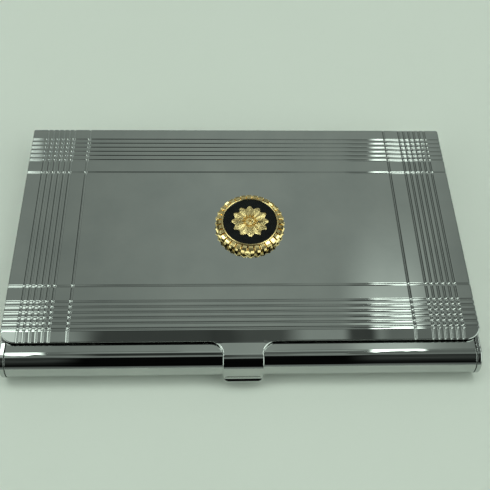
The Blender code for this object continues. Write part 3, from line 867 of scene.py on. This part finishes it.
def emblem_height(share, angle):
    """Relief of the rosette: a beaded boss, veined petals and a raised edge."""
    petal = np.cos(EMBLEM_PETALS * angle)
    swell = 0.55 + 0.45 * petal
    vein = 0.25 * np.exp(-(np.sin(EMBLEM_PETALS * angle / 2) / 0.12) ** 2)
    ribs = 0.12 * np.cos(EMBLEM_PETALS * 6 * angle) * np.clip(share * 1.4 - 0.4, 0, 1)
    body = np.sin(np.pi * np.clip(share, 0, 1) ** 0.9) ** 0.6 * (swell + vein + ribs)
    boss = 1.05 * np.clip(1 - (share / EMBLEM_BOSS) ** 2, 0, 1) ** 0.5
    off_ring = (share - BEAD_RING) / BEAD_HALF_WIDTH
    off_bead = np.sin(EMBLEM_PETALS * 2 * angle) / 0.95
    beads = 0.75 * np.clip(1 - off_ring ** 2 - off_bead ** 2, 0, 1) ** 0.5
    return np.maximum(np.maximum(body * (share > 0.4), boss), beads) * 0.9


def make_emblem(finish):
    """A plain rosette in relief on the enamel."""
    around, across = EMBLEM_STEPS
    angle = np.arange(around) * math.tau / around
    edge = EMBLEM_RADIUS + EMBLEM_PETAL * np.cos(EMBLEM_PETALS * angle)
    grain = np.random.default_rng(EMBLEM_SEED).random((across + 1, around))
    low = EMBLEM_UNDERSIDE - EMBLEM_SUNK
    foot = low + EMBLEM_SKIRT
    verts = []
    for i in range(across + 1):
        share = i / across
        height = emblem_height(np.full(around, share), angle)
        height = np.clip(height + EMBLEM_GRAIN * (grain[i] - 0.5) * (height > 0.1), 0, 1)
        for k in range(around):
            top = foot + (EMBLEM_TOP - foot) * height[k]
            verts.append(on_medallion(edge[k] * max(share, 0.002), angle[k], top))
    base = len(verts)
    verts += [on_medallion(edge[k], angle[k], low) for k in range(around)]
    faces = []
    for i in range(across):
        faces += ring_faces(i * around, (i + 1) * around, around)
    faces += ring_faces(across * around, base, around)
    faces = [face[::-1] for face in faces]
    faces += [tuple(range(around)), tuple(base + k for k in reversed(range(around)))]
    made = make_piece("medallion_rosette", verts, faces, finish, "lid", "medallion_emblem")
    made.data.shade_smooth()
    made.data.set_sharp_from_angle(angle=EMBLEM_SMOOTH)


# ------------------------------------------------------------------ finishes

def feed(tree, socket, value):
    """Links another node's output to a socket, or sets the socket's own value."""
    if isinstance(value, bpy.types.NodeSocket):
        tree.links.new(value, socket)
    else:
        socket.default_value = value


def math_node(tree, kind, *values):
    node = tree.nodes.new("ShaderNodeMath")
    node.operation = kind
    for socket, value in zip(node.inputs, values):
        feed(tree, socket, value)
    return node.outputs[0]


class Finish:
    """Builds a node material; sizes in the textures are in millimetres."""

    def __init__(self, name, metallic=1.0):
        self.material = bpy.data.materials.new(name)
        self.material.use_nodes = True
        self.tree = self.material.node_tree
        self.shader = self.tree.nodes["Principled BSDF"]
        self.shader.inputs["Metallic"].default_value = metallic
        where = self.tree.nodes.new("ShaderNodeTexCoord")
        self.place = self.add("ShaderNodeMapping", Vector=where.outputs["Object"])
        self.place.inputs["Scale"].default_value = (1 / MM, 1 / MM, 1 / MM)

    def add(self, kind, **inputs):
        node = self.tree.nodes.new(kind)
        for name, value in inputs.items():
            feed(self.tree, node.inputs[name], value)
        return node

    def noise(self, scale, detail=3.0, stretch=(1.0, 1.0, 1.0), rough=0.55):
        """Smooth noise from 0 to 1; scale is in cycles per millimetre."""
        moved = self.add("ShaderNodeMapping", Vector=self.place.outputs["Vector"])
        moved.inputs["Scale"].default_value = stretch
        node = self.add("ShaderNodeTexNoise", Vector=moved.outputs["Vector"], Scale=scale,
                        Detail=detail, Roughness=rough)
        return node.outputs["Fac"]

    def span(self, value, low, high, start=0.3, end=0.7):
        """The value from start to end stretched to run from low to high."""
        node = self.add("ShaderNodeMapRange", Value=value)
        limits = {"From Min": start, "From Max": end, "To Min": low, "To Max": high}
        for name, number in limits.items():
            node.inputs[name].default_value = number
        return node.outputs["Result"]

    def blend(self, share, dark, light):
        node = self.tree.nodes.new("ShaderNodeMix")
        node.data_type = "RGBA"
        self.tree.links.new(share, node.inputs[0])
        node.inputs[6].default_value = (*dark, 1.0)
        node.inputs[7].default_value = (*light, 1.0)
        return node.outputs[2]

    def sum(self, first, second):
        return math_node(self.tree, "ADD", first, second)

    def colour(self, socket):
        self.tree.links.new(socket, self.shader.inputs["Base Color"])

    def roughness(self, socket):
        self.tree.links.new(socket, self.shader.inputs["Roughness"])

    def bump(self, height, distance, strength=1.0):
        node = self.add("ShaderNodeBump", Height=height, Strength=strength)
        node.inputs["Distance"].default_value = distance * MM
        self.tree.links.new(node.outputs["Normal"], self.shader.inputs["Normal"])


def chrome(name):
    """Plated mirror finish with faint handling marks and hair scratches."""
    made = Finish(name)
    smudge = made.noise(0.11, 5.0)
    streaks = made.noise(1.6, 3.0, (0.08, 1.0, 1.0))
    hairs = made.noise(9.0, 2.0, (0.03, 1.0, 1.0))
    made.colour(made.blend(made.span(smudge, 0.0, 1.0), (0.455, 0.472, 0.463), (0.51, 0.523, 0.51)))
    film = made.span(smudge, 0.012, 0.045, 0.42, 0.78)
    scratch = made.span(hairs, 0.0, 0.03, 0.62, 0.8)
    made.roughness(made.sum(film, scratch))
    made.bump(streaks, 0.0004, 0.6)
    return made.material


def brushed_steel(name, dark, light, grain):
    """Bare steel with rolling marks along its length."""
    made = Finish(name)
    lines = made.noise(grain, 4.0, (0.04, 1.0, 1.0), 0.7)
    blot = made.noise(0.2, 4.0)
    made.colour(made.blend(made.span(made.sum(lines, blot), 0.0, 1.0, 0.7, 1.3), dark, light))
    made.roughness(made.sum(made.span(lines, 0.16, 0.34), made.span(blot, 0.0, 0.1)))
    made.bump(lines, 0.004, 0.5)
    return made.material


def gilt(name, rough_low, rough_high, grain, depth):
    """Gold plate, deeper in tone where the polish has missed it."""
    made = Finish(name)
    tone = made.noise(1.1, 4.0)
    fine = made.noise(grain, 4.0)
    made.colour(made.blend(made.span(tone, 0.0, 1.0), (0.80, 0.59, 0.25), (0.97, 0.78, 0.40)))
    made.roughness(made.span(fine, rough_low, rough_high))
    made.bump(fine, depth, 0.8)
    return made.material


def black_enamel(name):
    made = Finish(name, 0.0)
    cloud = made.noise(0.6, 4.0)
    dust = made.noise(6.0, 2.0)
    made.colour(made.blend(made.span(cloud, 0.0, 1.0), (0.004, 0.0045, 0.0045), (0.009, 0.010, 0.010)))
    made.roughness(made.sum(made.span(cloud, 0.03, 0.07), made.span(dust, 0.0, 0.05, 0.6, 0.8)))
    made.bump(made.noise(0.35, 2.0), 0.004, 0.4)
    made.shader.inputs["Specular IOR Level"].default_value = 0.15
    return made.material


def foam(name):
    made = Finish(name, 0.0)
    cells = made.add("ShaderNodeTexVoronoi", Vector=made.place.outputs["Vector"], Scale=7.0)
    distance = cells.outputs["Distance"]
    share = made.span(distance, 0.0, 1.0, 0.1, 0.6)
    made.colour(made.blend(share, (0.62, 0.61, 0.57), (0.85, 0.84, 0.80)))
    made.roughness(made.span(distance, 0.7, 0.95, 0.1, 0.6))
    made.bump(distance, 0.05, 0.6)
    return made.material


def floor_finish(name):
    made = Finish(name, 0.0)
    cloud = made.noise(0.012, 3.0)
    tooth = made.noise(2.5, 3.0)
    made.colour(made.blend(made.span(cloud, 0.0, 1.0), (0.684, 0.722, 0.664), (0.704, 0.742, 0.684)))
    made.roughness(made.span(tooth, 0.6, 0.72))
    made.bump(tooth, 0.01, 0.2)
    return made.material


# ------------------------------------------------------------------ the studio

def make_floor(finish):
    """A large plain disc under the case."""
    verts = [(0.0, 0.0, 0.0)] + [(FLOOR_RADIUS * math.cos(a), FLOOR_RADIUS * math.sin(a), 0.0)
                                 for a in np.linspace(0, math.tau, FLOOR_SIDES + 1)[:-1]]
    faces = [(0, k + 1, (k + 1) % FLOOR_SIDES + 1) for k in range(FLOOR_SIDES)]
    mesh = bpy.data.meshes.new("floor")
    mesh.from_pydata((np.array(verts) * MM).tolist(), [], faces)
    mesh.materials.append(finish)
    made = bpy.data.objects.new("floor", mesh)
    made.location.z = -FLOOR_GAP * MM
    bpy.context.scene.collection.objects.link(made)


class Room:
    """The world's nodes: soft bands of light and dark, by direction only."""

    def __init__(self):
        world = bpy.data.worlds.new("studio")
        bpy.context.scene.world = world
        world.use_nodes = True
        self.tree = world.node_tree
        self.background = self.tree.nodes["Background"]
        where = self.tree.nodes.new("ShaderNodeTexCoord")
        split = self.tree.nodes.new("ShaderNodeSeparateXYZ")
        self.tree.links.new(where.outputs["Generated"], split.inputs[0])
        self.side, self.ahead, self.up = split.outputs[0], split.outputs[1], split.outputs[2]
        self.lap = self.math("DIVIDE", self.math("ARCTAN2", self.up, self.ahead), math.pi)

    def streaks(self, per_side, per_lap):
        """Noise about 0 that runs in thin streaks from left to right."""
        place = self.tree.nodes.new("ShaderNodeCombineXYZ")
        for name, value, scale in (("X", self.side, per_side), ("Y", self.lap, per_lap)):
            self.tree.links.new(self.math("MULTIPLY", value, scale), place.inputs[name])
        node = self.tree.nodes.new("ShaderNodeTexNoise")
        self.tree.links.new(place.outputs[0], node.inputs["Vector"])
        node.inputs["Scale"].default_value = 1.0
        node.inputs["Detail"].default_value = 2.0
        return self.math("SUBTRACT", node.outputs["Fac"], 0.5)

    def math(self, kind, *values):
        return math_node(self.tree, kind, *values)

    def ramp(self, stops, source=None, scale=HALF_LAP):
        node = self.tree.nodes.new("ShaderNodeValToRGB")
        elements = node.color_ramp.elements
        while len(elements) < len(stops):
            elements.new(0.5)
        for element, (place_at, level) in zip(elements, stops):
            element.position = place_at / scale
            element.color = (level, level, level, 1.0)
        self.tree.links.new(source or self.lap, node.inputs[0])
        return node.outputs[0]

    def band(self, source, low, high, soft):
        """1 between two values of the source, falling off softly outside them."""
        rise = self.smooth(source, low - soft, low + soft)
        fall = self.smooth(source, high - soft, high + soft)
        return self.math("SUBTRACT", rise, fall)

    def lap_band(self, first, last, soft):
        """The same between two angles of the lap, in degrees."""
        return self.band(self.lap, first / HALF_LAP, last / HALF_LAP, soft / HALF_LAP)

    def smooth(self, source, low, high):
        """Rises from 0 to 1 as the source goes from low to high."""
        node = self.tree.nodes.new("ShaderNodeMapRange")
        node.interpolation_type = "SMOOTHSTEP"
        self.tree.links.new(source, node.inputs["Value"])
        node.inputs["From Min"].default_value = low
        node.inputs["From Max"].default_value = high
        return node.outputs["Result"]

    def mix(self, share, first, second):
        """first where share is 0 and second where it is 1."""
        return self.math("ADD", self.math("MULTIPLY", first, self.math("SUBTRACT", 1.0, share)),
                         self.math("MULTIPLY", second, share))

    def finish(self, level):
        tint = self.tree.nodes.new("ShaderNodeVectorMath")
        tint.operation = "SCALE"
        tint.inputs[0].default_value = ROOM_TINT
        self.tree.links.new(level, tint.inputs["Scale"])
        self.tree.links.new(tint.outputs[0], self.background.inputs["Color"])


def make_room():
    room = Room()
    far = room.math("ABSOLUTE", room.side)
    streak = room.streaks(*RUFFLE_GRAIN)
    level = room.mix(room.smooth(far, *SIDES_BEGIN), room.ramp(ROOM_MIDDLE), room.ramp(ROOM_SIDES))
    slant = room.ramp(ROOM_SLANT, room.math("MULTIPLY_ADD", room.side, 0.5, 0.5), 1.0)
    level = room.math("MULTIPLY", level, room.mix(room.lap_band(*SLANT_FREE), slant, 1.0))
    ruffle = room.math("MULTIPLY", room.lap_band(*RUFFLE_BAND), RUFFLE_STRENGTH)
    ruffle = room.math("MULTIPLY_ADD", ruffle, streak, 1.0)
    level = room.math("MULTIPLY", level, room.math("MAXIMUM", ruffle, 0.0))
    for low, high, first, last, soft, share, tone in ROOM_PATCHES:
        shifted = room.math("MULTIPLY_ADD", streak, soft, room.side)
        patch = room.math("MULTIPLY", room.band(shifted, low, high, soft),
                          room.lap_band(first, last, EDGE_SOFTNESS))
        level = room.mix(room.math("MULTIPLY", patch, share), level, tone)
    glow = room.math("MULTIPLY", room.band(room.side, *GLOW_SIDE), room.lap_band(*GLOW_BAND))
    level = room.math("MULTIPLY_ADD", glow, GLOW_LEVEL, level)
    horizon = room.math("SUBTRACT", 1.0, room.smooth(room.up, *HORIZON_UP))
    horizon = room.math("MULTIPLY", horizon, room.smooth(room.ahead, *HORIZON_AHEAD))
    horizon = room.math("MULTIPLY", horizon, room.smooth(far, *HORIZON_SIDE))
    level = room.mix(horizon, level, HORIZON_LEVEL)
    room.finish(add_strips(room, level))


def add_strips(room, level):
    """Bright lamps with wavering edges over the level so far."""
    across = room.math("MULTIPLY_ADD", room.streaks(*WAVER_GRAIN), STRIP_WAVER, room.side)
    along = room.math("MULTIPLY_ADD", room.streaks(*SWAY_GRAIN), STRIP_SWAY, room.lap)
    for low, high, first, last, tone in ROOM_STRIPS:
        begun, ended = (room.smooth(source, (angle - EDGE_SOFTNESS) / HALF_LAP,
                                    (angle + EDGE_SOFTNESS) / HALF_LAP)
                        for source, angle in ((room.lap, first), (along, last)))
        strip = room.math("MAXIMUM", room.math("SUBTRACT", begun, ended), 0.0)
        strip = room.math("MULTIPLY", strip, room.band(across, low, high, STRIP_SOFTNESS))
        level = room.mix(strip, level, tone)
    return level


def make_lamp():
    """A soft key light that faces the case, and that the chrome doesn't mirror."""
    light = bpy.data.lights.new("key", "AREA")
    light.shape = "DISK"
    light.size = KEY_SIZE * MM
    light.energy = KEY_POWER
    light.color = KEY_COLOUR
    made = bpy.data.objects.new("key", light)
    place_at = Vector(KEY_PLACE)
    facing = place_at.to_track_quat("Z", "Y").to_matrix().to_4x4()
    made.matrix_world = Matrix.Translation(place_at * MM) @ facing
    made.visible_glossy = False
    bpy.context.scene.collection.objects.link(made)


def make_camera():
    azimuth, elevation, roll = (math.radians(a) for a in CAMERA_TURN)
    turn = Matrix.Rotation(azimuth, 4, "Z") @ Matrix.Rotation(math.pi / 2 - elevation, 4, "X")
    turn = turn @ Matrix.Rotation(roll, 4, "Z")
    data = bpy.data.cameras.new("camera")
    data.sensor_width = CAMERA_SENSOR
    data.lens = CAMERA_LENS
    data.clip_start, data.clip_end = CAMERA_CLIP
    camera = bpy.data.objects.new("camera", data)
    place_at = (Vector(CAMERA_TARGET) + turn.col[2].xyz * CAMERA_DISTANCE) * MM
    camera.matrix_world = Matrix.Translation(place_at) @ turn
    bpy.context.scene.collection.objects.link(camera)
    bpy.context.scene.camera = camera


def give_finish(finish, *nodes):
    """A CAD node whose shape is right keeps its mesh and gets this material."""
    for node in nodes:
        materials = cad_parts[node].data.materials
        materials.clear()
        materials.append(finish)


def main():
    mirror = chrome("chrome_mirror")
    shell = chrome("chrome_shell")
    strip = brushed_steel("hinge_strip_steel", (0.40, 0.41, 0.41), (0.56, 0.57, 0.56), 5.0)
    leaf = brushed_steel("card_leaf_steel", (0.46, 0.47, 0.47), (0.62, 0.63, 0.62), 3.0)
    wire = brushed_steel("spring_wire", (0.34, 0.34, 0.34), (0.52, 0.52, 0.50), 12.0)
    bright_gold = gilt("gilt_cut", 0.05, 0.14, 8.0, 0.002)
    relief_gold = gilt("gilt_struck", 0.18, 0.36, 9.0, 0.012)
    make_lid(mirror)
    make_base_shell(shell)
    make_end_plate("end_plate_left", -1, shell)
    make_end_plate("end_plate_right", 1, shell)
    make_base_hinge_leaf(strip)
    make_lid_hinge_leaf(strip)
    make_card_leaf(leaf)
    make_cup_and_enamel(bright_gold, black_enamel("enamel_black"))
    make_bezel(bright_gold)
    make_emblem(relief_gold)
    give_finish(wire, "hinge_pin", "lifter_spring_left", "lifter_spring_right")
    give_finish(foam("foam_pad"), "medallion_adhesive")
    make_floor(floor_finish("pale_floor"))
    make_room()
    make_lamp()
    make_camera()
    bpy.context.scene.view_settings.view_transform = "Standard"


main()
